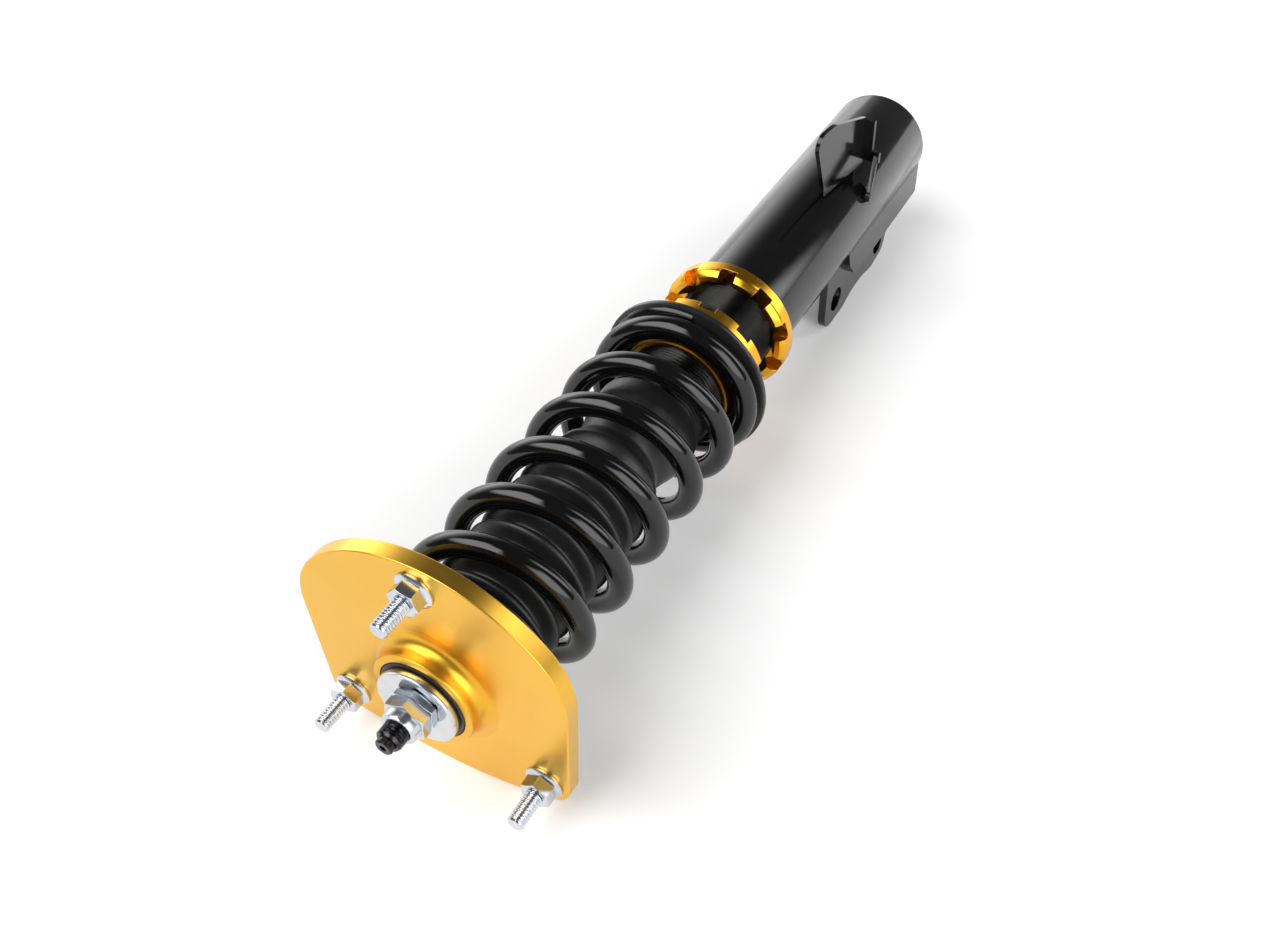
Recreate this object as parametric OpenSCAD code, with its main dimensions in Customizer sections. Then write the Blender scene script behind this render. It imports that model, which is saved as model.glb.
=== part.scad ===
// Height-adjustable suspension strut with a coil spring, lying on its side.
// The strut axis runs along +X: top mount at the low end, knuckle bracket at
// the high end. Z is up. The part rests on the mount plate and the bracket.
// Lengths along the strut (s) are counted from the front rim of the top mount.

/* [Top mount] */
// Radius of the rounded upper edge of the mount plate
plate_top_r = 72.5; // [70:0.5:74]
// Thickness of the mount plate
plate_t = 8; // [6:0.5:8]
// Distance of the upper stud from the strut axis
stud_top = 59.5; // [57:0.5:61]
// Sideways distance of the two lower studs from the strut axis
stud_side = 50; // [46:0.5:51]
// Distance of the two lower studs below the strut axis
stud_low = 35.5; // [33:0.5:37]
// Length of stud standing out of the mount plate
stud_out = 23; // [18:1:24]
// Outer radius of the mount boss rim
boss_r = 24.7; // [24:0.1:25.5]

/* [Damper] */
// Outside radius of the threaded damper body
body_r = 26.5; // [26.3:0.1:26.5]
// Bore radius of the damper body
bore_r = 22.5; // [22:0.1:22.8]
// Radius of the piston rod
rod_r = 6.25; // [6.1:0.05:6.4]
// Full compression travel of the rod
stroke = 80; // [60:1:80]

/* [Spring] */
// Radius from the strut axis to the middle of the spring wire
coil_r = 38; // [37.8:0.1:38.2]
// Radius of the spring wire
wire_r = 6; // [5.5:0.1:6]
// Segments in one turn of the spring
coil_seg = 24; // [16:1:28]
// Sides of the spring wire
wire_sides = 12; // [8:1:14]

/* [Rings] */
// Outside radius of the two castellated rings
ring_r = 36.4; // [35:0.1:37]
// Number of spanner notches in each ring
notches = 10; // [8:1:12]
// Width of each spanner notch
notch_w = 9; // [7:0.5:9.5]

/* [Lower mount] */
// Outside radius of the lower mount tube
tube_r = 30; // [29.8:0.1:30]
// Outer distance of each bracket ear from the strut's middle plane
ear_y = 24.5; // [24.3:0.1:25.2]
// Thickness of each bracket ear
ear_t = 4.5; // [4:0.1:5]
// Radius of the upper knuckle bolt hole
knuckle_r1 = 7.25; // [6.5:0.05:7.5]
// Radius of the lower knuckle bolt hole
knuckle_r2 = 6.25; // [6:0.05:6.5]

/* [Hidden] */
$fn = 72;
axis_h = 54.3;
x_mid = 231.3;
fit = 0.05;
plate_s = 9.1;
thread_r = 5.95;
stud_r = 4;
seat_s = 26;        // spring face of the upper seat
disc_s = 226.5;     // spring face of the lower seat
disc_t = 3;
body_s0 = 182;
body_s1 = 404;
ring_s0 = 270;
ring_s1 = 281;
tube_s0 = 281.3;
tube_s1 = 488.9;

function unit(v) = v / norm(v);
// Polygon corners [x, y, r] turned into arcs of radius r.
function rounded(p, n = 6) = [for (i = [0:len(p) - 1])
  let (c = [p[i][0], p[i][1]], r = p[i][2],
    a = p[(i + len(p) - 1) % len(p)], b = p[(i + 1) % len(p)],
    u = unit([a[0] - c[0], a[1] - c[1]]), v = unit([b[0] - c[0], b[1] - c[1]]),
    h = acos(max(-1, min(1, u * v))) / 2,
    o = r == 0 ? c : c + unit(u + v) * r / sin(h),
    t0 = r == 0 ? 0 : atan2((c + u * r / tan(h) - o)[1], (c + u * r / tan(h) - o)[0]),
    t1 = r == 0 ? 0 : atan2((c + v * r / tan(h) - o)[1], (c + v * r / tan(h) - o)[0]),
    d = (t1 - t0 + 540) % 360 - 180)
  each (r == 0 ? [c] : [for (k = [0:n]) o + r * [cos(t0 + d * k / n), sin(t0 + d * k / n)]])];

// Local frame with Z along the strut, local X down and local Y sideways.
module along() translate([-x_mid, 0, axis_h]) rotate([0, 90, 0]) children();
// A turned part: points are [radius, s].
module turned(p) along() rotate_extrude() polygon(p);
// A flat blank standing in the XZ plane, from y0 to y0 + t: points are [s, z].
module blank(p, y0, t) translate([-x_mid, y0 + t, axis_h]) rotate([90, 0, 0]) linear_extrude(t) polygon(p);
module bore_y(s, z, r) translate([-x_mid + s, 0, axis_h + z]) rotate([90, 0, 0]) cylinder(h = 120, r = r, center = true);
module tube_clear() along() translate([0, 0, 270]) cylinder(h = 240, r = tube_r + 0.03, $fn = 120);
module hex_bar(af, s0, s1, cham = 0.9, both = false) along() intersection() {
  translate([0, 0, s0]) rotate([0, 0, 4]) cylinder(h = s1 - s0, r = af / sqrt(3), $fn = 6);
  rotate_extrude() polygon([[0, s0], [af / 2 - 0.1, s0], [af / 2 + 2, s0 + cham * 1.25],
    [af / 2 + 2, both ? s1 - cham * 1.25 : s1], [both ? af / 2 - 0.1 : af / 2 + 2, s1], [0, s1]]);
}

// ---- mount plate -------------------------------------------------------
side_top = [66.1, 29.9];
low_corner = [61.5, -43.9];
low_r = 190;
function plate_outline() = let (
    top = [for (a = [38:4:142]) [plate_top_r * cos(a), plate_top_r * sin(a), 0]],
    low = [for (x = [-52:8:52]) [x, -axis_h + low_r - sqrt(low_r * low_r - x * x), 0]])
  rounded(concat(top, [[-side_top[0], side_top[1], 40], [-low_corner[0], low_corner[1], 12]],
    low, [[low_corner[0], low_corner[1], 12], [side_top[0], side_top[1], 40]]), 9);
studs = [[0, stud_top], [stud_side, -stud_low], [-stud_side, -stud_low]];
module at_studs() for (p = studs) along() translate([-p[1], p[0], 0]) children();

module top_plate() color([0.9, 0.68, 0.25]) difference() {
  along() translate([0, 0, plate_s]) linear_extrude(plate_t)
    polygon([for (p = plate_outline()) [-p[1], p[0]]]);
  along() cylinder(h = 40, r = 31.2);
  at_studs() cylinder(h = 40, r = stud_r + fit - 0.5);
}
module mount_boss() color([0.9, 0.66, 0.2])
  turned(concat([[20.9, 0], [boss_r - 1, 0], [boss_r, 0.8], [boss_r, 2.6]],
    [for (a = [0:12:84]) [boss_r + 6 - 6 * cos(a), 2.95 + 6.1 * sin(a)]],
    [[31.15, plate_s], [31.15, plate_s + plate_t], [30, plate_s + plate_t + 0.4], [30, 18], [20.9, 18]]));
module top_studs() color([0.8, 0.82, 0.84]) at_studs() rotate_extrude()
  polygon([[0, plate_s - stud_out], [stud_r - 0.8, plate_s - stud_out], [stud_r, plate_s - stud_out + 0.8],
    [stud_r, plate_s - 8.2], [stud_r - 0.5, plate_s - 8.1], [stud_r - 0.5, plate_s + plate_t], [6.6, plate_s + plate_t], [6.6, plate_s + plate_t + 2.4], [0, plate_s + plate_t + 2.4]]);
module stud_flange_nuts() color([0.85, 0.87, 0.9]) at_studs() difference() {
  union() {
    rotate_extrude() polygon([[2, plate_s], [8.95, plate_s], [8.95, plate_s - 1.1], [6.6, plate_s - 2.3], [2, plate_s - 2.3]]);
    intersection() {
      translate([0, 0, plate_s - 8]) cylinder(h = 7, r = 13 / sqrt(3), $fn = 6);
      rotate_extrude() polygon([[0, plate_s - 8], [6.3, plate_s - 8], [8.2, plate_s - 6.9], [8.2, plate_s - 1], [0, plate_s - 1]]);
    }
  }
  translate([0, 0, -20]) cylinder(h = 60, r = stud_r + fit - 0.5);
}
module mount_bush() color([0.08, 0.08, 0.08])
  turned([[9.05, 17.9], [9.05, -0.2], [18.9, -0.4], [20.3, -0.4], [20.85, 0.2], [20.85, 17.9]]);
module bush_sleeve() color([0.7, 0.7, 0.72])
  turned([[thread_r + fit, -0.8], [9, -0.8], [9, 19.4], [14.6, 19.4], [14.6, 21.5], [thread_r + fit, 21.5]]);
module top_washer() color([0.85, 0.87, 0.88])
  turned([[thread_r + fit, -0.8], [thread_r + fit, -2.7], [11.4, -2.7], [18.4, -4.6], [19.4, -4.2], [19.4, -1.2], [19, -0.8]]);
module rod_jam_nut() color([0.82, 0.84, 0.86]) difference() {
  hex_bar(19, -6.6, -2.7, 0.8, true);
  along() translate([0, 0, -20]) cylinder(h = 30, r = thread_r + fit);
}
module rod_lock_nut() color([0.85, 0.87, 0.9]) difference() {
  union() {
    hex_bar(19, -13, -6.6, 0.8, true);
    turned([[0, -17], [7.2, -17], [8.4, -16], [8.7, -12.9], [8.7, -10], [0, -10]]);
  }
  along() translate([0, 0, -20]) cylinder(h = 30, r = thread_r + fit);
}
module bearing_upper_race() color([0.75, 0.75, 0.77])
  turned([[17, 18], [28, 18], [28, 19], [24.4, 19], [24, 19.4], [21, 19.4], [20.6, 19], [17, 19]]);
module bearing_balls() color([0.85, 0.85, 0.88])
  for (k = [0:23]) along() rotate([0, 0, k * 15]) translate([22.5, 0, 20.75]) sphere(r = 1.3, $fn = 24);
module bearing_lower_race() color([0.75, 0.75, 0.77])
  turned([[17, 23.2], [17, 22.5], [20.6, 22.5], [21, 22.1], [24, 22.1], [24.4, 22.5], [28, 22.5], [28, 23.2]]);

// ---- rod and what rides on it ------------------------------------------
module upper_spring_seat() color([0.1, 0.1, 0.1])
  turned([[thread_r + fit, 21.5], [15, 21.5], [15.5, 23.2], [43.5, 23.2], [44, 23.7], [44, seat_s], [31.4, seat_s],
    [30.8, seat_s + 4.5], [27.6, seat_s + 4.5], [27.2, seat_s], [thread_r + fit, seat_s]]);
module piston_rod() color([0.2, 0.2, 0.21]) difference() {
  turned([[0, -23.3], [thread_r - 0.7, -23.3], [thread_r, -22.6], [thread_r, seat_s], [rod_r, seat_s + 0.3],
    [rod_r, 207.2], [6, 207.6], [6, 234], [5, 235], [0, 235]]);
  along() translate([0, 0, -30]) cylinder(h = 230, r = 2.1);
}
module damping_adjuster() color([0.15, 0.15, 0.16]) difference() {
  turned([[0, -26.3], [3.6, -26.3], [4.2, -25.7], [4.2, -23.4], [2.05, -23.4], [2.05, 190], [0.4, 197], [0, 197]]);
  along() translate([0, 0, -30]) cylinder(h = 6.2, r = 3 / sqrt(3), $fn = 6);
}
module bump_stop() color([0.85, 0.72, 0.35])
  turned(concat([[rod_r + 0.3, seat_s + 0.2], [19, seat_s + 0.2]],
    [for (i = [0:65]) [17.2 + 1.8 * cos(i * 18), seat_s + 1.2 + i]],
    [[15, seat_s + 71], [rod_r + 1.5, seat_s + 71.5], [rod_r + 0.3, seat_s + 70]]));
// The boot: nine folds, a wide bulge, a waist and a skirt over the damper body.
fold = 10.6;
boot_s0 = 26.4;
boot_s1 = 188;
function blend(a, b, x) = a + (b - a) * (1 - cos(180 * x)) / 2;
function boot_r(s) =
  s < 27.5 ? 25.8 :
  s < 29.5 ? blend(25.8, 24, (s - 27.5) / 2) :
  s < 135.5 ? 27.4 + 3.4 * cos((s - 45.4) / fold * 360) :
  s < 146 ? blend(24, 27.6, (s - 135.5) / 10.5) :
  s < 156.5 ? blend(27.6, 22.8, (s - 146) / 10.5) :
  s < 181 ? blend(22.8, 27.6, (s - 156.5) / 24.5) : 27.65;
boot_steps = [for (s = [boot_s0:1.325:boot_s1 - 0.5]) s];
module dust_boot() color([0.06, 0.06, 0.06])
  turned(concat([for (s = boot_steps) [boot_r(s), s]], [[27.65, boot_s1], [26.55, boot_s1]],
    [for (i = [len(boot_steps) - 1:-1:0]) [boot_r(boot_steps[i]) - 1.05, boot_steps[i]]]));
// The spring: right-hand coil, closed and ground at both ends. t counts turns.
t_start = -1.4;
t_end = 6.27;
coil_close = 12.05; // pitch of the closed end turns
t_a = -0.4;
t_b = 5.2;
t_ease = 0.15;
function coil_mid(t) = 44.9 + 33.48 * t - 0.218 * (t - 3) * (t - 3) - 0.167 * pow(t - 3, 3);
function coil_rise(t) = 33.48 - 0.436 * (t - 3) - 0.501 * (t - 3) * (t - 3);
function coil_tail(m, u) = u < t_ease ? m * u - (m - coil_close) * u * u / (2 * t_ease)
  : (m + coil_close) * t_ease / 2 + coil_close * (u - t_ease);
function coil_s(t) = t < t_a ? coil_mid(t_a) - coil_tail(coil_rise(t_a), t_a - t)
  : t > t_b ? coil_mid(t_b) + coil_tail(coil_rise(t_b), t - t_b) : coil_mid(t);
coil_n = round((t_end - t_start) * coil_seg);
// d: how far the middle of the wire has passed the ground plane. Points beyond that plane lie on the flat.
function coil_pt(i, j) = let (t = t_start + (t_end - t_start) * i / coil_n, a = 360 * t, b = 360 * j / wire_sides,
    c = coil_s(t), d = max(seat_s + 0.1 - c, c - disc_s + 0.1, 0), q = (c < 100 ? 1 : -1) * asin(sin(b)),
    q0 = asin(d / wire_r), x = d > 0 && q < q0
      ? sign(cos(b)) * sqrt(wire_r * wire_r - d * d) * sin((q + 90) / (q0 + 90) * 90) : wire_r * cos(b),
    r = coil_r + x, s = max(seat_s + 0.1, min(disc_s - 0.1, c + wire_r * sin(b))))
  [r * cos(a), r * sin(a), s];
module coil_spring() color([0.05, 0.05, 0.05]) translate([-x_mid, 0, axis_h])
  polyhedron(
    points = [for (i = [0:coil_n]) for (j = [0:wire_sides - 1]) let (p = coil_pt(i, j)) [p[2], p[0], p[1]]],
    faces = concat(
      [[for (j = [wire_sides - 1:-1:0]) j]],
      [[for (j = [0:wire_sides - 1]) coil_n * wire_sides + j]],
      [for (i = [0:coil_n - 1]) for (j = [0:wire_sides - 1]) let (a = i * wire_sides, k = (j + 1) % wire_sides)
        each [[a + j, a + k, a + wire_sides + k], [a + j, a + wire_sides + k, a + wire_sides + j]]]));

// ---- spring perch --------------------------------------------------------
module lower_spring_seat() color([0.06, 0.06, 0.06])
  turned([[29.55, disc_s], [44.6, disc_s], [45.4, disc_s + 0.8], [45.4, disc_s + disc_t - 0.8], [44.6, disc_s + disc_t], [29.55, disc_s + disc_t]]);
module spring_perch() color([0.93, 0.66, 0.16]) difference() {
  turned([[body_r + fit, 217], [28.6, 217], [29.45, 218], [29.45, disc_s + disc_t + 0.1], [ring_r - 0.6, disc_s + disc_t + 0.1],
    [ring_r, disc_s + disc_t + 0.8], [ring_r, 245], [ring_r - 1, 246], [body_r + 1.4, 246], [body_r + fit, 245]]);
  for (k = [0:notches - 1]) along() rotate([0, 0, 360 / notches * (k + 0.5) + 8]) translate([23, -notch_w / 2, 241.6]) cube([20, notch_w, 8]);
}

// ---- damper ---------------------------------------------------------------
module damper_body() color([0.07, 0.07, 0.08])
  turned([[bore_r, body_s0], [body_r - 1, body_s0], [body_r, body_s0 + 1], [body_r, body_s1 - 1], [body_r - 1, body_s1], [bore_r, body_s1]]);
module gland_nut() color([0.5, 0.5, 0.52]) difference() {
  turned([[rod_r + 0.4, 178], [21.4, 178], [bore_r - fit, 179], [bore_r - fit, 186], [rod_r + 0.4, 186]]);
  for (a = [0:90:270]) along() rotate([0, 0, a]) translate([15.5, 0, 170]) cylinder(h = 11, r = 2.2, $fn = 24);
}
module rod_seal() color([0.1, 0.1, 0.1])
  turned([[rod_r + 0.02, 186.2], [14, 186.2], [14, 190.8], [rod_r + 0.02, 190.8]]);
module rod_guide() color([0.6, 0.6, 0.62])
  turned([[14.1, 186.1], [bore_r - fit, 186.1], [bore_r - fit, 207.5], [rod_r + 0.03, 207.5], [rod_r + 0.03, 191], [14.1, 191]]);
module piston() color([0.65, 0.65, 0.67]) difference() {
  turned([[6.03, 210], [20.5, 210], [22, 211.2], [22, 213], [21.2, 213], [21.2, 221], [22, 221], [22, 222.8], [20.5, 224], [6.03, 224]]);
  for (a = [0:60:300]) along() rotate([0, 0, a]) translate([14.5, 0, 200]) cylinder(h = 30, r = 2.1, $fn = 24);
}
module piston_band() color([0.3, 0.22, 0.16])
  turned([[21.25, 213.1], [22.46, 213.1], [22.46, 220.9], [21.25, 220.9]]);
module shim(s, r) turned([[6.03, s], [r, s], [r, s + 0.5], [6.03, s + 0.5]]);
module compression_shims() color([0.75, 0.76, 0.78]) for (k = [0:3]) shim(209.45 - 0.55 * k, 18 - 2.2 * k);
module rebound_shims() color([0.75, 0.76, 0.78]) for (k = [0:3]) shim(224.05 + 0.55 * k, 18 - 2.2 * k);
module piston_nut() color([0.55, 0.56, 0.58]) difference() {
  hex_bar(18, 226.3, 232.5, 0.8, true);
  along() translate([0, 0, 200]) cylinder(h = 60, r = 6.02);
}
module floating_piston() color([0.65, 0.65, 0.67])
  turned([[0, 340], [20.5, 340], [22.35, 341], [22.35, 345.5], [20.2, 345.5], [20.2, 349.5], [22.35, 349.5], [22.35, 354], [20.5, 355],
    [16, 355], [16, 345], [0, 345]]);
module floating_piston_ring() color([0.1, 0.1, 0.1])
  turned([[20.25, 346.2], [22.3, 345.7], [22.46, 347.5], [22.3, 349.3], [20.25, 348.8]]);
module body_base_cap() color([0.5, 0.5, 0.52])
  turned([[0, 394], [bore_r - 1, 394], [bore_r - fit, 395], [bore_r - fit, 403], [0, 403]]);

// ---- lower mount ------------------------------------------------------------
module lower_lock_ring() color([0.93, 0.66, 0.16]) difference() {
  turned([[body_r + 1.8, ring_s0], [33.6, ring_s0], [ring_r, ring_s0 + 2.4], [ring_r, ring_s1 - 0.8], [ring_r - 0.8, ring_s1],
    [body_r + fit, ring_s1], [body_r + fit, ring_s0 + 1.6]]);
  for (k = [0:notches - 1]) along() rotate([0, 0, 360 / notches * k + 2]) translate([23, -notch_w / 2, ring_s0 - 3]) cube([20, notch_w, 8.4]);
}
module lower_mount_tube() color([0.05, 0.05, 0.05]) difference() {
  turned([[body_r + fit, tube_s0], [tube_r - 0.8, tube_s0], [tube_r, tube_s0 + 0.8], [tube_r, tube_s1 - 0.8], [tube_r - 0.8, tube_s1],
    [27.2, tube_s1], [27.2, 350], [body_r + fit, 349.3]]);
}
module tube_end_cap() color([0.06, 0.06, 0.06])
  turned([[4, 482], [26.4, 482], [27.15, 482.8], [27.15, 487], [4, 487]]);
ear = [[357.6, -9.5, 0], [357, -34, 6], [356.6, -axis_h, 10], [384, -axis_h, 10], [399, -50.4, 20], [414, -50.2, 20],
  [430, -53.2, 9], [447, -50.4, 8], [452.5, -39, 8], [456.5, -26, 5], [488.6, -26, 0], [488.6, -9.5, 0]];
module knuckle_ear(y0) difference() {
  blank(rounded(ear, 5), y0, ear_t);
  tube_clear();
  bore_y(373.2, -40.1, knuckle_r1);
  bore_y(406.6, -36.3, 2.85);
  bore_y(438.1, -40.9, knuckle_r2);
}
module left_knuckle_ear() color([0.06, 0.06, 0.06]) knuckle_ear(ear_y - ear_t);
module right_knuckle_ear() color([0.06, 0.06, 0.06]) knuckle_ear(-ear_y);
rail = [[377, -7, 0], [380, -19, 8], [390, -31.5, 8], [488.6, -29.8, 1], [488.6, -7, 0]];
module ear_rail(y0) difference() {
  blank(rounded(rail, 4), y0, 4);
  tube_clear();
}
module left_ear_rail() color([0.07, 0.07, 0.07]) ear_rail(ear_y + 0.02);
module right_ear_rail() color([0.07, 0.07, 0.07]) ear_rail(-ear_y - 4.02);
fin = [[0, -6, 0], [-0.4, 5, 8], [-7, 24, 10], [-12.6, 40.9, 7], [8, 40.3, 20], [47, 26.6, 1.5], [47, -6, 0]];
module hose_bracket() color([0.06, 0.06, 0.06]) difference() {
  translate([-x_mid + 372.5, -9.1, axis_h + 28.2]) rotate([0, 0, -5.2]) union() {
    translate([0, 0, 0]) rotate([90, 0, 0]) linear_extrude(2.5) polygon(rounded(fin, 6));
    translate([44.5, -8.8, 1]) cube([2.5, 8.8, 25.6]);
    translate([44.5, -13.4, 1]) cube([2.5, 6, 6.5]);
    translate([45, -11.5, 4]) rotate([0, 0, 16]) rotate([0, 42, 0]) difference() {
      union() {
        translate([-1.2, -1.2, -22]) cube([4.6, 2.4, 23]);
        translate([1.1, 1.2, -22]) rotate([90, 0, 0]) cylinder(h = 2.4, r = 3, $fn = 36);
      }
      translate([1.1, 5, -22]) rotate([90, 0, 0]) cylinder(h = 20, r = 1.4, $fn = 36);
    }
  }
  tube_clear();
}

top_plate();
mount_boss();
top_studs();
stud_flange_nuts();
mount_bush();
bush_sleeve();
top_washer();
rod_jam_nut();
rod_lock_nut();
bearing_upper_race();
bearing_balls();
bearing_lower_race();
upper_spring_seat();
piston_rod();
damping_adjuster();
bump_stop();
dust_boot();
coil_spring();
lower_spring_seat();
spring_perch();
damper_body();
gland_nut();
rod_seal();
rod_guide();
piston();
piston_band();
compression_shims();
rebound_shims();
piston_nut();
floating_piston();
floating_piston_ring();
body_base_cap();
lower_lock_ring();
lower_mount_tube();
tube_end_cap();
left_knuckle_ear();
right_knuckle_ear();
left_ear_rail();
right_ear_rail();
hose_bracket();
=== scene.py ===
import bpy, bmesh, math
from mathutils import Vector, Matrix


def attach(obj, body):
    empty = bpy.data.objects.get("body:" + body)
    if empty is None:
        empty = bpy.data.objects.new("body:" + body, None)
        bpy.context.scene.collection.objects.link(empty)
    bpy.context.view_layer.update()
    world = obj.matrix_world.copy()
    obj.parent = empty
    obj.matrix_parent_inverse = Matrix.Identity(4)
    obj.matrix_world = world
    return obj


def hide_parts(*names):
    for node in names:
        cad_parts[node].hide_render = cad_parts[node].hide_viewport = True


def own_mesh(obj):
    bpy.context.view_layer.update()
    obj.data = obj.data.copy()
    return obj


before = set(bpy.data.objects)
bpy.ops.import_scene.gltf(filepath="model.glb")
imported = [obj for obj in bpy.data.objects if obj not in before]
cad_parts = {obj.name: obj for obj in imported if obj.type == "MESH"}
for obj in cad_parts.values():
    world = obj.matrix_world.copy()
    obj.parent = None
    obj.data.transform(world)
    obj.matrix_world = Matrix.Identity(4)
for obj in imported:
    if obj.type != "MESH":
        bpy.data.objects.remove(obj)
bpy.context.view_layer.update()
scene = bpy.context.scene
XM, H = 231.3, 54.3
TAU = 2 * math.pi


def mm(s, y, z):
    """A point given along the strut (s) and across it, in millimetres."""
    return Vector(((s - XM) / 1000, y / 1000, (z + H) / 1000))


# ---------------------------------------------------------------- camera
cam_data = bpy.data.cameras.new("camera")
cam = bpy.data.objects.new("camera", cam_data)
scene.collection.objects.link(cam)
right = Vector((0.4898, -0.8714, -0.0262)).normalized()
back = -Vector((0.6152, 0.3667, -0.6979)).normalized()
up = back.cross(right).normalized()
right = up.cross(back).normalized()
m = Matrix((right, up, back)).transposed().to_4x4()
m.translation = Vector((-0.4595, -0.2432, 0.4964))
cam.matrix_world = m
cam_data.lens = 37.22
cam_data.sensor_width = 36
cam_data.clip_start = 0.01
scene.camera = cam


# ---------------------------------------------------------------- mesh helpers
def new_obj(name, bm, sharp=32, recalc=True):
    if recalc:
        bmesh.ops.recalc_face_normals(bm, faces=bm.faces)
    me = bpy.data.meshes.new(name)
    bm.to_mesh(me)
    bm.free()
    for p in me.polygons:
        p.use_smooth = True
    if sharp:
        me.set_sharp_from_angle(angle=math.radians(sharp))
    o = bpy.data.objects.new(name, me)
    scene.collection.objects.link(o)
    return o


def lathe(name, prof, n=128, at=(0, 0), sharp=32, fn=None):
    """Revolves a closed loop of (radius, s) points round a line parallel to the strut axis.
    fn(i, r, s, a) may change the radius of point i at angle a."""
    bm = bmesh.new()
    rings = []
    for i, (r, s) in enumerate(prof):
        if r < 1e-6:
            rings.append([bm.verts.new(mm(s, at[0], at[1]))])
            continue
        ring = []
        for k in range(n):
            a = TAU * k / n
            q = fn(i, r, s, a) if fn else r
            ring.append(bm.verts.new(mm(s, at[0] + q * math.cos(a), at[1] + q * math.sin(a))))
        rings.append(ring)
    for i in range(len(rings)):
        A, B = rings[i], rings[(i + 1) % len(rings)]
        if len(A) == 1 and len(B) == 1:
            continue
        for k in range(n):
            j = (k + 1) % n
            if len(A) == 1:
                bm.faces.new((A[0], B[k], B[j]))
            elif len(B) == 1:
                bm.faces.new((A[k], A[j], B[0]))
            else:
                bm.faces.new((A[k], A[j], B[j], B[k]))
    return new_obj(name, bm, sharp)


def prism(name, outline, axis, lo, hi, sharp=32):
    """A flat blank. axis 'x': outline is (y, z), from s=lo to hi. axis 'y': outline is (s, z), from y=lo to hi."""
    bm = bmesh.new()
    def pt(p, h):
        return mm(h, p[0], p[1]) if axis == "x" else mm(p[0], h, p[1])
    A = [bm.verts.new(pt(p, lo)) for p in outline]
    B = [bm.verts.new(pt(p, hi)) for p in outline]
    bm.faces.new(A)
    bm.faces.new(list(reversed(B)))
    n = len(outline)
    for k in range(n):
        j = (k + 1) % n
        bm.faces.new((A[k], B[k], B[j], A[j]))
    return new_obj(name, bm, sharp)


def rounded(pts, n=8):
    """Corners (x, y, r) turned into arcs."""
    out = []
    for i, (x, y, r) in enumerate(pts):
        c = Vector((x, y))
        if r == 0:
            out.append((x, y))
            continue
        u = (Vector(pts[i - 1][:2]) - c).normalized()
        v = (Vector(pts[(i + 1) % len(pts)][:2]) - c).normalized()
        h = math.acos(max(-1, min(1, u.dot(v)))) / 2
        o = c + (u + v).normalized() * (r / math.sin(h))
        p, q = c + u * (r / math.tan(h)) - o, c + v * (r / math.tan(h)) - o
        t0 = math.atan2(p.y, p.x)
        d = (math.atan2(q.y, q.x) - t0 + 3 * math.pi) % TAU - math.pi
        out += [(o.x + r * math.cos(t0 + d * k / n), o.y + r * math.sin(t0 + d * k / n)) for k in range(n + 1)]
    return out


def baked(o, sharp=None):
    """Applies o's modifiers."""
    bpy.context.view_layer.update()
    dg = bpy.context.evaluated_depsgraph_get()
    me = bpy.data.meshes.new_from_object(o.evaluated_get(dg))
    o.modifiers.clear()
    old = o.data
    o.data = me
    bpy.data.meshes.remove(old)
    if sharp:
        for p in me.polygons:
            p.use_smooth = True
        me.set_sharp_from_angle(angle=math.radians(sharp))
    return o


def boolean(o, tools, op="DIFFERENCE"):
    for t in tools:
        md = o.modifiers.new("b", "BOOLEAN")
        md.operation, md.object, md.solver = op, t, "EXACT"
    baked(o)
    for t in tools:
        bpy.data.objects.remove(t)
    return o


def bevel(o, width, segs=2, angle=35):
    md = o.modifiers.new("bev", "BEVEL")
    md.width, md.segments, md.limit_method = width / 1000, segs, "ANGLE"
    md.angle_limit = math.radians(angle)
    md.harden_normals = True
    md.use_clamp_overlap = True
    for p in o.data.polygons:
        p.use_smooth = True
    return baked(o)


def box_obj(name, center, size, rot=None):
    """A box cutter or block: center in metres, size in millimetres, rot a 3x3 matrix."""
    bm = bmesh.new()
    bmesh.ops.create_cube(bm, size=1)
    M = Matrix.Translation(center) @ (rot or Matrix.Identity(3)).to_4x4() @ Matrix.Diagonal([x / 1000 for x in size] + [1])
    bm.transform(M)
    return new_obj(name, bm, None)


def place(o, body, slot, mat, *nodes):
    o.data.materials.clear()
    o.data.materials.append(mat)
    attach(o, body)
    if nodes:
        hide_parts(*nodes)
    return o


def threaded(name, rows, n, pitch, depth, t0, t1, at=(0, 0), hand=1):
    """A lathe whose outer wall, between t0 and t1, carries a helical thread cut 'depth' deep into it."""
    def fn(i, r, s, a):
        if not rows[i][2] or s < t0 or s > t1:
            return r
        ph = ((s - hand * pitch * a / TAU) / pitch) % 1.0
        tri = abs(ph - 0.5) * 2                       # 1 at the crest, 0 in the root
        cut = 1 - min(1, max(0, (tri - 0.12) / 0.72))
        fade = min(1, (s - t0) / (pitch * 0.8), (t1 - s) / (pitch * 0.8))
        return r - depth * cut * max(0, fade)
    return lathe(name, [(r, s) for r, s, _ in rows], n, at, 40, fn)


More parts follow.
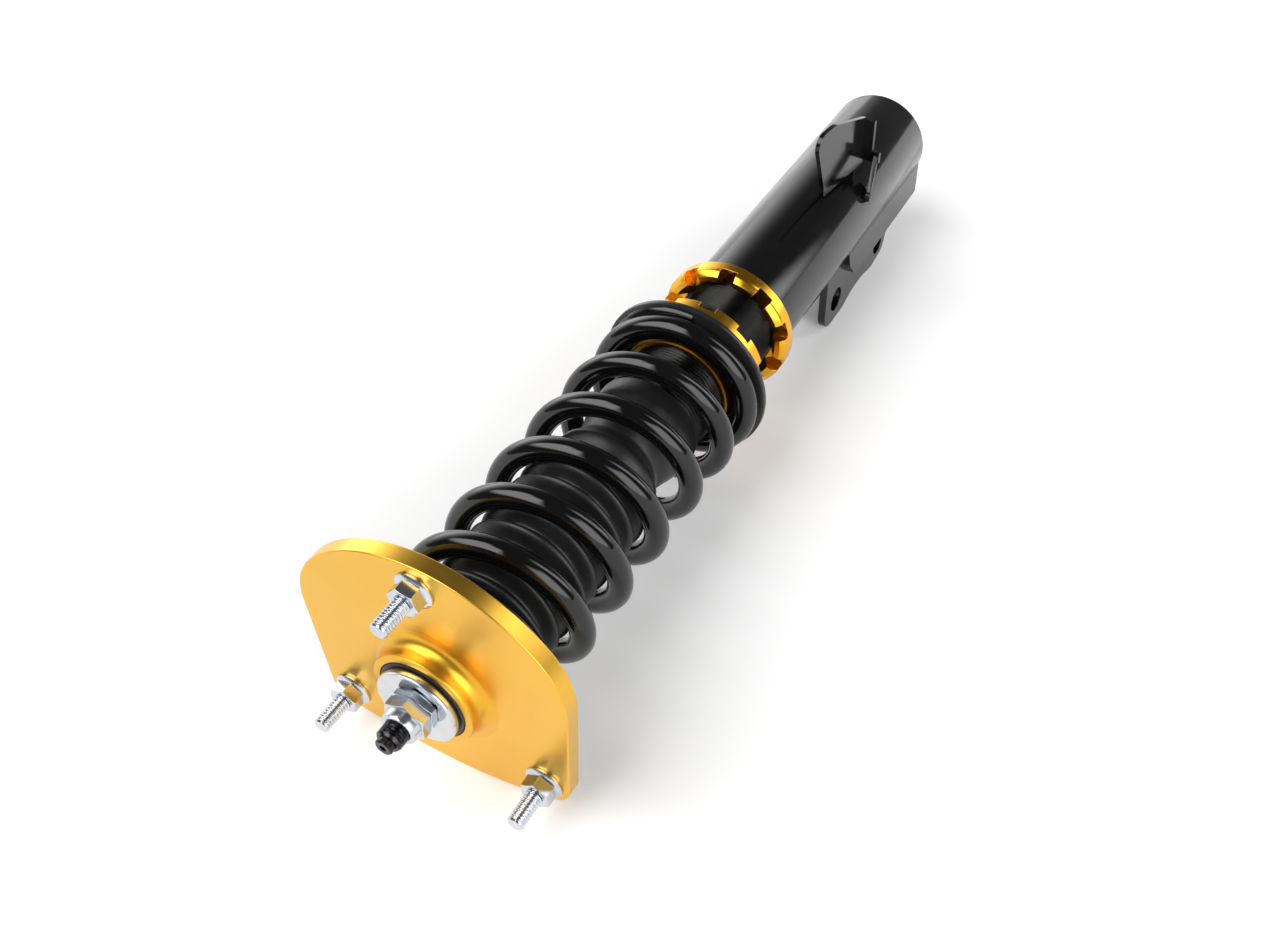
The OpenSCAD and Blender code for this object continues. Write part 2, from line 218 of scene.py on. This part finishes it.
# ---------------------------------------------------------------- materials
class Nodes:
    """A short way of writing one procedural material."""
    def __init__(self, name):
        self.mat = bpy.data.materials.new(name)
        self.mat.use_nodes = True
        self.t = self.mat.node_tree
        self.b = self.t.nodes["Principled BSDF"]
        self.co = self.t.nodes.new("ShaderNodeTexCoord").outputs["Object"]

    def link(self, a, b):
        self.t.links.new(a, b)

    def noise(self, scale, detail=3, rough=0.55, stretch=None, offset=0, distort=0):
        n = self.t.nodes.new("ShaderNodeTexNoise")
        n.inputs["Scale"].default_value = scale
        n.inputs["Detail"].default_value = detail
        n.inputs["Roughness"].default_value = rough
        n.inputs["Distortion"].default_value = distort
        mp = self.t.nodes.new("ShaderNodeMapping")
        mp.inputs["Scale"].default_value = stretch or (1, 1, 1)
        mp.inputs["Location"].default_value = (offset, offset * 1.7, -offset)
        self.link(self.co, mp.inputs["Vector"])
        self.link(mp.outputs["Vector"], n.inputs["Vector"])
        return n.outputs["Fac"]

    def ramp(self, fac, stops):
        r = self.t.nodes.new("ShaderNodeValToRGB")
        e = r.color_ramp.elements
        while len(e) < len(stops):
            e.new(0.5)
        for k, (p, c) in enumerate(stops):
            e[k].position = p
            e[k].color = tuple(c) + (1,) if isinstance(c, (tuple, list)) else (c, c, c, 1)
        self.link(fac, r.inputs["Fac"])
        return r.outputs["Color"]

    def math(self, op, a, b=None):
        n = self.t.nodes.new("ShaderNodeMath")
        n.operation = op
        for k, v in enumerate((a, b)):
            if v is None:
                continue
            if isinstance(v, (int, float)):
                n.inputs[k].default_value = v
            else:
                self.link(v, n.inputs[k])
        return n.outputs["Value"]

    def rings(self, per_m, axis_z=0.0543):
        """Fine lathe-turning marks: a sine of radius plus length along the strut."""
        sep = self.t.nodes.new("ShaderNodeSeparateXYZ")
        self.link(self.co, sep.inputs["Vector"])
        y2 = self.math("MULTIPLY", sep.outputs["Y"], sep.outputs["Y"])
        zc = self.math("SUBTRACT", sep.outputs["Z"], axis_z)
        z2 = self.math("MULTIPLY", zc, zc)
        rad = self.math("SQRT", self.math("ADD", y2, z2))
        both = self.math("ADD", rad, sep.outputs["X"])
        wob = self.math("MULTIPLY", self.noise(900, 2), 0.00025)
        return self.math("SINE", self.math("MULTIPLY", self.math("ADD", both, wob), per_m))

    def bump(self, height, strength, distance):
        b = self.t.nodes.new("ShaderNodeBump")
        b.inputs["Strength"].default_value = strength
        b.inputs["Distance"].default_value = distance
        self.link(height, b.inputs["Height"])
        if self.b.inputs["Normal"].is_linked:
            self.link(self.b.inputs["Normal"].links[0].from_socket, b.inputs["Normal"])
        self.link(b.outputs["Normal"], self.b.inputs["Normal"])

    def set(self, **kw):
        for k, v in kw.items():
            s = self.b.inputs[k.replace("_", " ")]
            s.default_value = tuple(v) + (1,) if isinstance(v, tuple) and len(v) == 3 else v

    def color(self, out):
        self.link(out, self.b.inputs["Base Color"])

    def rough(self, out):
        self.link(out, self.b.inputs["Roughness"])


def metal(name, c0, c1, r0, r1, scale=60, fine=2600, bump=0.12, turned=0, spec=0.5):
    N = Nodes(name)
    N.set(Metallic=1.0)
    N.color(N.ramp(N.noise(scale, 4), [(0.32, c0), (0.68, c1)]))
    N.rough(N.ramp(N.noise(scale * 3.3, 4, offset=3), [(0.3, r0), (0.7, r1)]))
    N.bump(N.noise(fine, 2), bump, 0.0001)
    if turned:
        N.bump(N.rings(turned), 0.10, 0.00006)
    return N.mat


def paint(name, c0, c1, r0, r1, peel=0.12, peel_scale=420, coat=0.0, ior=1.5):
    """Powder coat: near-black, gloss, with orange peel and a little dust in the gloss."""
    N = Nodes(name)
    N.set(IOR=ior, Coat_Weight=coat, Coat_Roughness=0.04)
    N.color(N.ramp(N.noise(35, 4), [(0.3, c0), (0.7, c1)]))
    N.rough(N.ramp(N.noise(120, 5, 0.65, offset=5), [(0.35, r0), (0.72, r1)]))
    N.bump(N.noise(peel_scale, 2, 0.4), peel, 0.0003)
    N.bump(N.noise(3000, 2, 0.5, offset=2), peel * 0.3, 0.0001)
    return N.mat


GOLD = metal("gold_anodised", (0.775, 0.44, 0.055), (0.80, 0.463, 0.065), 0.28, 0.33, 30, 3000, 0.10)
GOLD_BOSS = metal("gold_boss", (0.75, 0.405, 0.035), (0.78, 0.435, 0.045), 0.30, 0.35, 30, 3000, 0.04)
GOLD_RING = metal("gold_ring", (0.80, 0.40, 0.028), (0.87, 0.46, 0.045), 0.15, 0.24, 70, 3000, 0.06)
# Painted shade: a darker, duller copy of the ring's gold for the perch neck, standing in for the shade that falls
# on it
GOLD_NECK_PAINTED_SHADE = metal("gold_neck_painted_shade", (0.26, 0.11, 0.012), (0.33, 0.15, 0.02), 0.34, 0.44, 70, 3000, 0.05)
ZINC = metal("zinc_steel", (0.52, 0.55, 0.60), (0.64, 0.67, 0.72), 0.15, 0.24, 60, 2400, 0.02)
STEEL = metal("plain_steel", (0.52, 0.52, 0.54), (0.64, 0.64, 0.66), 0.25, 0.38, 90, 2500, 0.1, 12000)
ALU = metal("plain_aluminium", (0.62, 0.63, 0.65), (0.72, 0.73, 0.75), 0.28, 0.40, 90, 2500, 0.1, 12000)
OXIDE = metal("black_oxide", (0.03, 0.03, 0.033), (0.06, 0.06, 0.066), 0.18, 0.28, 120, 2500, 0.03)
SPRING = paint("gloss_black_spring", (0.002, 0.002, 0.0022), (0.0035, 0.0035, 0.004), 0.035, 0.075, 0.03, 380, 0.0)
TUBE = paint("gloss_black_tube", (0.002, 0.002, 0.0022), (0.004, 0.004, 0.0044), 0.08, 0.14, 0.04, 420, 0.0)
BRACKET = paint("gloss_black_bracket", (0.0025, 0.0025, 0.003), (0.005, 0.005, 0.0055), 0.10, 0.18, 0.07, 380, 0.0)
SEAT = paint("black_seat", (0.010, 0.010, 0.011), (0.016, 0.016, 0.017), 0.20, 0.32, 0.12, 500)
BODY = metal("satin_black_body", (0.012, 0.012, 0.0125), (0.022, 0.0215, 0.021), 0.18, 0.26, 80, 2500, 0.015)


def rubber(name, c0, c1, r0, r1):
    N = Nodes(name)
    N.set(Specular_IOR_Level=0.45)
    N.color(N.ramp(N.noise(55, 5), [(0.3, c0), (0.7, c1)]))
    N.rough(N.ramp(N.noise(260, 5, 0.65, offset=4), [(0.3, r0), (0.75, r1)]))
    N.bump(N.noise(1500, 4, 0.6), 0.22, 0.0002)
    return N.mat


RUBBER = rubber("black_rubber", (0.006, 0.006, 0.0065), (0.012, 0.012, 0.0125), 0.32, 0.46)
FOAM = rubber("foam_rubber", (0.55, 0.42, 0.18), (0.68, 0.54, 0.25), 0.6, 0.8)
PTFE = rubber("seal_plastic", (0.14, 0.08, 0.045), (0.2, 0.12, 0.07), 0.4, 0.55)

CAD_MATS = {
    "bush_sleeve": STEEL, "bearing_upper_race": STEEL, "bearing_balls": STEEL, "bearing_lower_race": STEEL,
    "gland_nut": ALU, "rod_seal": RUBBER, "rod_guide": ALU, "piston": ALU, "piston_band": PTFE,
    "compression_shims": STEEL, "rebound_shims": STEEL, "piston_nut": STEEL, "floating_piston": ALU,
    "floating_piston_ring": RUBBER, "body_base_cap": STEEL, "bump_stop": FOAM, "tube_end_cap": TUBE,
    "upper_spring_seat": SEAT, "mount_bush": RUBBER, "top_plate": GOLD, "mount_boss": GOLD_BOSS, "top_studs": ZINC,
    "stud_flange_nuts": ZINC, "top_washer": ZINC, "rod_jam_nut": ZINC, "rod_lock_nut": ZINC,
    "piston_rod": OXIDE, "damping_adjuster": OXIDE, "dust_boot": RUBBER, "coil_spring": SPRING,
    "lower_spring_seat": SEAT, "spring_perch": GOLD_RING, "damper_body": BODY, "lower_lock_ring": GOLD_RING,
    "lower_mount_tube": TUBE, "left_knuckle_ear": BRACKET, "right_knuckle_ear": BRACKET,
    "left_ear_rail": BRACKET, "right_ear_rail": BRACKET, "hose_bracket": BRACKET}
for n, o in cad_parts.items():
    o.data.materials.clear()
    o.data.materials.append(CAD_MATS[n])

# ---------------------------------------------------------------- top mount
PLATE_S, PLATE_T, BOSS_R = 9.1, 8.0, 24.7
top = [(72.5 * math.cos(math.radians(a)), 72.5 * math.sin(math.radians(a)), 0) for a in range(38, 143, 2)]
low = [(x, -54.3 + 190 - math.sqrt(190 * 190 - x * x), 0) for x in range(-52, 53, 4)]
outline = rounded(top + [(-66.1, 29.9, 40), (-61.5, -43.9, 12)] + low + [(61.5, -43.9, 12), (66.1, 29.9, 40)], 12)
plate = prism("mount_plate", outline, "x", PLATE_S, PLATE_S + PLATE_T)
hole = lathe("cut", [(0, 0), (26, 0), (26, 30), (0, 30)], 96)
boolean(plate, [hole])
bevel(plate, 0.7, 3, 50)
place(plate, "top_mount", "gold_anodised", GOLD, "top_plate")
boss_prof = [(20.95, 14.0), (20.95, 0.5), (21.3, 0.0), (BOSS_R - 1.0, 0.0), (BOSS_R - 0.3, 0.3), (BOSS_R, 1.0), (BOSS_R, 2.6)]
boss_prof += [(BOSS_R + 6 - 6 * math.cos(math.radians(a)), 2.95 + 6.05 * math.sin(math.radians(a))) for a in range(6, 91, 7)]
boss_prof += [(BOSS_R + 6.8, 9.09), (BOSS_R + 6.8, 9.4), (26, 9.4), (26, 18.0), (16, 18.0), (16, 14.0)]
boss = lathe("mount_boss", boss_prof, 192)
place(boss, "top_mount", "gold_anodised", GOLD_BOSS, "mount_boss")

bush = lathe("bush_ring", [(9.1, 17.5), (9.1, -0.1), (18.7, -0.4), (20.1, -0.4), (20.7, 0.1), (20.9, 0.9), (20.9, 17.5)], 128)
place(bush, "top_mount", "black_rubber", RUBBER, "mount_bush")
washer = lathe("dished_washer", [(6.0, -0.8), (6.0, -2.7), (10.9, -2.7), (11.6, -2.9), (17.6, -4.5), (18.5, -4.6), (19.2, -4.4), (19.4, -4.0), (19.4, -1.4), (19.1, -0.8)], 128)
place(washer, "rod", "zinc_steel", ZINC, "top_washer")


def hexnut(name, af, s0, s1, hole, at=(0, 0), rot=0, both=True, cham=0.9):
    """Hexagon with chamfered corners and a bore."""
    R = af / math.sqrt(3)
    pts = [(at[0] + R * math.cos(math.radians(rot + 60 * k)), at[1] + R * math.sin(math.radians(rot + 60 * k))) for k in range(6)]
    o = prism(name, pts, "x", s0, s1)
    c = cham
    prof = [(0, s0), (af / 2 - 0.15, s0), (R + 1.2, s0 + c * 1.15), (R + 1.2, (s1 - c * 1.15) if both else s1), ((af / 2 - 0.15) if both else R + 1.2, s1), (0, s1)]
    cone = lathe("cone", prof, 96, at)
    boolean(o, [cone], "INTERSECT")
    boolean(o, [lathe("cut", [(0, s0 - 5), (hole, s0 - 5), (hole, s1 + 5), (0, s1 + 5)], 64, at)])
    return bevel(o, 0.22, 2, 25)


jam = hexnut("jam_nut", 19, -6.6, -2.7, 6.0, rot=35)
place(jam, "rod", "zinc_steel", ZINC, "rod_jam_nut")
lock = hexnut("lock_nut_hex", 19, -12.4, -6.6, 6.0, rot=35)
place(lock, "rod", "zinc_steel", ZINC, "rod_lock_nut")
collar = lathe("lock_nut_collar", [(5.95, -12.3), (5.95, -16.6), (6.6, -17), (7.4, -17), (8.1, -16.6), (8.45, -15.9), (8.6, -13.6), (8.9, -12.2)], 96)
place(collar, "rod", "zinc_steel", ZINC)


def rows(prof):
    return prof


def thread_rows(r, s0, s1, step, cham, inner=None):
    """Rows of a threaded rod: chamfered ends and a fine grid between."""
    out = [(0, s0, False), (r - cham, s0, False), (r, s0 + cham, True)]
    n = int((s1 - s0 - cham) / step)
    out += [(r, s0 + cham + (s1 - s0 - cham) * k / n, True) for k in range(1, n + 1)]
    out += [(0, s1, False)]
    return out


rod_top = threaded("rod_thread", thread_rows(5.95, -23.3, 0.0, 0.15, 0.8), 64, 1.25, 0.62, -23.0, 0.5)
place(rod_top, "rod", "black_oxide_steel", OXIDE)
studs_at = [(0, 59.5), (50, -35.5), (-50, -35.5)]
for k, (y, z) in enumerate(studs_at):
    st = threaded(f"stud_{k}", thread_rows(4.0, PLATE_S - 23, PLATE_S + 3, 0.12, 0.7), 72, 1.5, 0.65, PLATE_S - 22.7, PLATE_S + 2, (y, z))
    place(st, "top_mount", "zinc_steel", ZINC, *(["top_studs"] if k == 0 else []))
    head = lathe(f"stud_head_{k}", [(0, 17.0), (6.0, 17.0), (6.6, 17.5), (6.6, 19.0), (6.1, 19.5), (0, 19.5)], 64, (y, z))
    place(head, "top_mount", "zinc_steel", ZINC)
    hx = hexnut(f"nut_hex_{k}", 13, 1.1, 8.4, 3.9, (y, z), rot=[12, 40, 28][k], both=False, cham=1.0)
    place(hx, "top_mount", "zinc_steel", ZINC, *(["stud_flange_nuts"] if k == 0 else []))
    fl = lathe(f"nut_flange_{k}", [(4.0, 9.1), (4.0, 6.8), (6.7, 6.8), (7.4, 7.15), (8.7, 7.85), (8.95, 8.1), (8.95, 8.9), (8.75, 9.1)], 80, (y, z))
    place(fl, "top_mount", "zinc_steel", ZINC)

adj = lathe("adjuster_head", [(0, -26.3), (3.6, -26.3), (4.2, -25.7), (4.2, -23.35), (0, -23.35)], 64)
bore = prism("cut", [(1.75 * math.cos(math.radians(60 * k)), 1.75 * math.sin(math.radians(60 * k))) for k in range(6)], "x", -28, -24.2)
boolean(adj, [bore])
bevel(adj, 0.15, 2, 40)
place(adj, "adjuster", "black_oxide_steel", OXIDE, "damping_adjuster")
rod = lathe("rod_body", [(0, 0), (5.9, 0), (5.9, 31), (6.25, 31.3), (6.25, 207), (0, 207)], 64)
place(rod, "rod", "black_oxide_steel", OXIDE, "piston_rod")

# ---------------------------------------------------------------- spring
SEAT_S, DISC_S = 26.0, 226.5
T0, T1 = -1.4, 6.27
CLOSE, TA, TB, EASE = 12.05, -0.4, 5.2, 0.15


def coil_mid(t):
    return 44.9 + 33.48 * t - 0.218 * (t - 3) ** 2 - 0.167 * (t - 3) ** 3


def coil_rise(t):
    return 33.48 - 0.436 * (t - 3) - 0.501 * (t - 3) ** 2


def coil_tail(m, u):
    if u < EASE:
        return m * u - (m - CLOSE) * u * u / (2 * EASE)
    return (m + CLOSE) * EASE / 2 + CLOSE * (u - EASE)


def coil_s(t):
    if t < TA:
        return coil_mid(TA) - coil_tail(coil_rise(TA), TA - t)
    if t > TB:
        return coil_mid(TB) + coil_tail(coil_rise(TB), t - TB)
    return coil_mid(t)


def make_spring():
    seg, sides, w = 110, 32, 5.96
    n = int((T1 - T0) * seg)
    bm = bmesh.new()
    rings = []
    for i in range(n + 1):
        t = T0 + (T1 - T0) * i / n
        a = TAU * t
        c = coil_s(t)
        d = max(SEAT_S + 0.12 - c, c - DISC_S + 0.12, 0)      # how far the wire's middle is past the ground plane
        q0 = math.asin(d / w)
        ring = []
        for j in range(sides):
            b = TAU * j / sides
            q = math.asin(max(-1, min(1, math.sin(b)))) * (1 if c < 100 else -1)
            x = w * math.cos(b)
            if d > 0 and q < q0:
                u = math.sin((q + math.pi / 2) / (q0 + math.pi / 2) * math.pi / 2)
                x = math.copysign(math.sqrt(w * w - d * d) * u, math.cos(b))
            s = max(SEAT_S + 0.12, min(DISC_S - 0.12, c + w * math.sin(b)))
            ring.append(bm.verts.new(mm(s, (38 + x) * math.cos(a), (38 + x) * math.sin(a))))
        rings.append(ring)
    for A, B in zip(rings, rings[1:]):
        for j in range(sides):
            k = (j + 1) % sides
            bm.faces.new((A[j], A[k], B[k], B[j]))
    bm.faces.new(rings[0])
    bm.faces.new(rings[-1])
    return new_obj("spring_coil", bm, 50)


spring = make_spring()
place(spring, "spring_carrier", "gloss_black_spring", SPRING, "coil_spring")
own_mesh(spring)

# ---------------------------------------------------------------- boot


def mix(a, b, x):
    return a + (b - a) * (1 - math.cos(math.pi * x)) / 2


def boot_r(s):
    if s < 27.5: return 25.8
    if s < 29.5: return mix(25.8, 24, (s - 27.5) / 2)
    if s < 135.5:
        c = math.cos((s - 45.4) / 10.6 * TAU)
        return 27.4 + 3.4 * (c if c < 0 else c ** 0.8)
    if s < 146: return mix(24, 27.6, (s - 135.5) / 10.5)
    if s < 156.5: return mix(27.6, 22.8, (s - 146) / 10.5)
    if s < 181: return mix(22.8, 27.6, (s - 156.5) / 24.5)
    return 27.65


outer = [26.4 + 0.5 * k for k in range(int((188 - 26.4) / 0.5) + 1)] + [188.0]
prof = [(boot_r(s), s) for s in outer] + [(27.2, 188.3), (26.6, 188.0)] + [(boot_r(s) - 1.05, s) for s in reversed(outer[::2])]
boot = lathe("boot_bellows", prof, 128, sharp=60)
place(boot, "damper", "black_rubber", RUBBER, "dust_boot")
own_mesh(boot)

# ---------------------------------------------------------------- perch, body, rings
disc = lathe("seat_disc", [(29.6, 226.5), (44.7, 226.5), (45.2, 226.7), (45.4, 227.2), (45.4, 228.8), (45.2, 229.3), (44.7, 229.5), (29.6, 229.5)], 192)
place(disc, "spring_carrier", "black_powder_coat", SEAT, "lower_spring_seat")

RING_R, NW = 36.4, 9.0


def castellated(name, prof, cut, side, phase, n=10):
    """A ring with n straight-sided notches across one end. prof runs once round the section; the part
    of it beyond s=cut (side +1 or -1) is missing inside each notch."""
    P = []
    for i, (r, s) in enumerate(prof):
        P.append((r, s))
        r2, s2 = prof[(i + 1) % len(prof)]
        if (s - cut) * (s2 - cut) < 0:
            P.append((r + (r2 - r) * (cut - s) / (s2 - s), cut))
    far = [side * (s - cut) > 1e-6 for r, s in P]
    i0 = next(i for i in range(len(P)) if far[i] and not far[i - 1])
    P = P[i0 - 1:] + P[:i0 - 1] if i0 else P[-1:] + P[:-1]
    far = [side * (s - cut) > 1e-6 for r, s in P]
    last = max(i for i in range(len(P)) if far[i])
    bm = bmesh.new()

    def ring(ang, inside):
        out = []
        for (r, s), f in zip(P, far):
            a = ang(r)
            out.append(bm.verts.new(mm(cut if inside and f else s, r * math.cos(a), r * math.sin(a))))
        return out

    def skin(A, B):
        for i in range(len(P)):
            j = (i + 1) % len(P)
            bm.faces.new((A[i], A[j], B[j], B[i]))

    h = lambda r: math.asin(NW / 2 / r)
    step = TAU / n
    for k in range(n):
        c = math.radians(phase) + step * k
        ins = [ring(lambda r, u=u: c + math.asin(NW * u / r), True) for u in [-0.5 + q / 6 for q in range(7)]]
        outs = [ring(lambda r, u=u: c + h(r) + (step - 2 * h(r)) * u, False) for u in [q / 18 for q in range(19)]]
        edge = ring(lambda r: c - h(r), False)
        for A, B in list(zip(ins, ins[1:])) + list(zip(outs, outs[1:])):
            skin(A, B)
        for O, I in ((edge, ins[0]), (outs[0], ins[-1])):
            bm.faces.new(O[:last + 2] + list(reversed(I[1:last + 1])))
    bmesh.ops.remove_doubles(bm, verts=bm.verts, dist=1e-6)
    bmesh.ops.dissolve_degenerate(bm, edges=bm.edges, dist=1e-7)
    return new_obj(name, bm, 32)


perch = castellated("perch_ring", [(26.6, 229.6), (RING_R - 0.5, 229.6), (RING_R, 230.1), (RING_R, 245.0), (RING_R - 1.0, 246.0), (28.2, 246.0), (26.6, 244.6)], 241.6, 1, 98)
bevel(perch, 0.3, 2, 28)
place(perch, "perch", "gold_ring", GOLD_RING, "spring_perch")

# The neck is made of the ring's gold but given the darker painted-shade copy of it
neck = lathe("perch_neck", [(26.6, 217), (28.4, 217), (29.2, 217.5), (29.45, 218.2), (29.45, 229.65), (26.6, 229.65)], 192)
place(neck, "perch", "gold_ring", GOLD_NECK_PAINTED_SHADE)

body_rows = [(22.5, 182, False), (25.6, 182, False)]
k = 0
s = 183.0
while s < 320:
    body_rows.append((26.5, s, True))
    s += 0.2
body_rows += [(26.5, 320, False), (26.5, 404, False), (22.5, 404, False)]
body = threaded("threaded_body", body_rows, 160, 2.0, 0.85, 183.5, 319)
place(body, "damper", "satin_black_body", BODY, "damper_body")

ring = castellated("lock_ring_body", [(30.6, 270.0), (33.6, 270.0), (RING_R - 0.2, 272.2), (RING_R, 272.7), (RING_R, 280.3), (RING_R - 0.7, 281.0), (26.6, 281.0), (26.6, 275.4)], 275.4, -1, 92)
bevel(ring, 0.3, 2, 28)
place(ring, "lock_ring", "gold_ring", GOLD_RING, "lower_lock_ring")

# ---------------------------------------------------------------- lower mount
tube = lathe("mount_tube", [(26.6, 281.4), (29.2, 281.4), (30, 282.2), (30, 488.1), (29.8, 488.6), (29.2, 488.9), (27.6, 488.9), (27.2, 488.5), (27.2, 350), (26.6, 349.4)], 256)
place(tube, "lower_mount", "gloss_black_tube", TUBE, "lower_mount_tube")



def softened(node, width):
    """A visual twin of a CAD piece with its edges rounded off."""
    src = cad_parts[node]
    bm = bmesh.new()
    bm.from_mesh(src.data)
    bm.transform(src.matrix_world)
    bmesh.ops.remove_doubles(bm, verts=bm.verts, dist=2e-6)
    bmesh.ops.dissolve_limit(bm, angle_limit=math.radians(1.0), verts=bm.verts, edges=bm.edges)
    o = new_obj(node + "_edged", bm, 30)
    bevel(o, width, 2, 30)
    return place(o, "lower_mount", "gloss_black_bracket", BRACKET, node)


for n in ("left_knuckle_ear", "right_knuckle_ear", "left_ear_rail", "right_ear_rail"):
    softened(n, 0.45)
softened("hose_bracket", 0.3)

# ---------------------------------------------------------------- floor, light
bm = bmesh.new()
bmesh.ops.create_grid(bm, x_segments=1, y_segments=1, size=14.0)
floor = new_obj("floor", bm, None, recalc=False)
floor.location.z = -0.0004
F = Nodes("floor_white")
F.set(Specular_IOR_Level=0.2, Emission_Color=(1.0, 1.0, 1.0), Emission_Strength=0.14)
F.color(F.ramp(F.noise(3, 3), [(0.3, (0.90, 0.90, 0.90)), (0.7, (0.93, 0.93, 0.93))]))
F.rough(F.ramp(F.noise(9, 3), [(0.3, 0.7), (0.7, 0.85)]))
floor.data.materials.append(F.mat)

world = bpy.data.worlds.new("studio")
scene.world = world
world.use_nodes = True
wt = world.node_tree
bg = wt.nodes["Background"]
bg.inputs["Strength"].default_value = 1.0


def wmath(op, a, b=None):
    n = wt.nodes.new("ShaderNodeMath")
    n.operation = op
    for k, v in enumerate((a, b)):
        if isinstance(v, (int, float)):
            n.inputs[k].default_value = v
        elif v is not None:
            wt.links.new(v, n.inputs[k])
    return n.outputs["Value"]


def fade(v, a, b):
    """0 below a, 1 above b, smooth between; the other way round when a > b."""
    n = wt.nodes.new("ShaderNodeMapRange")
    n.interpolation_type = "SMOOTHSTEP"
    n.inputs["From Min"].default_value = min(a, b)
    n.inputs["From Max"].default_value = max(a, b)
    n.inputs["To Min"].default_value = 0.0 if a < b else 1.0
    n.inputs["To Max"].default_value = 1.0 if a < b else 0.0
    wt.links.new(v, n.inputs["Value"])
    return n.outputs["Result"]


tc = wt.nodes.new("ShaderNodeTexCoord")
sep = wt.nodes.new("ShaderNodeSeparateXYZ")
wt.links.new(tc.outputs["Generated"], sep.inputs["Vector"])
CA, SA = math.cos(math.radians(150)), math.sin(math.radians(150))
wx = wmath("ADD", wmath("MULTIPLY", sep.outputs["X"], CA), wmath("MULTIPLY", sep.outputs["Y"], SA))
wy = wmath("SUBTRACT", wmath("MULTIPLY", sep.outputs["Y"], CA), wmath("MULTIPLY", sep.outputs["X"], SA))
az = wmath("MULTIPLY", wmath("ARCTAN2", wy, wx), 180 / math.pi)      # azimuth less 150 degrees
el = wmath("MULTIPLY", wmath("ARCSINE", sep.outputs["Z"]), 180 / math.pi)


PANELS = [(4.2, -50, 30, 30, 74), (3.4, 70, 120, 2, 45), (4.2, -106, -70, -14, 28, 32, 20), (3.2, 154, 174, 4, 52, 5, 9)]


def panel(level, a0, a1, e0, e1, wa=8, we=6):
    """A soft-edged light panel of the studio: azimuth a0..a1 (less 150), elevation e0..e1."""
    v = wmath("MULTIPLY", fade(az, a0 - wa, a0 + wa), fade(az, a1 + wa, a1 - wa))
    v = wmath("MULTIPLY", v, wmath("MULTIPLY", fade(el, e0 - we, e0 + we), fade(el, e1 + we, e1 - we)))
    return wmath("MULTIPLY", v, level)


total = wmath("ADD", 0.10, wmath("MULTIPLY", fade(el, 30, -20), 0.12))
for p in PANELS:
    total = wmath("ADD", total, panel(*p))
wt.links.new(total, bg.inputs["Color"])

scene.view_settings.view_transform = "Standard"
scene.view_settings.look = "None"
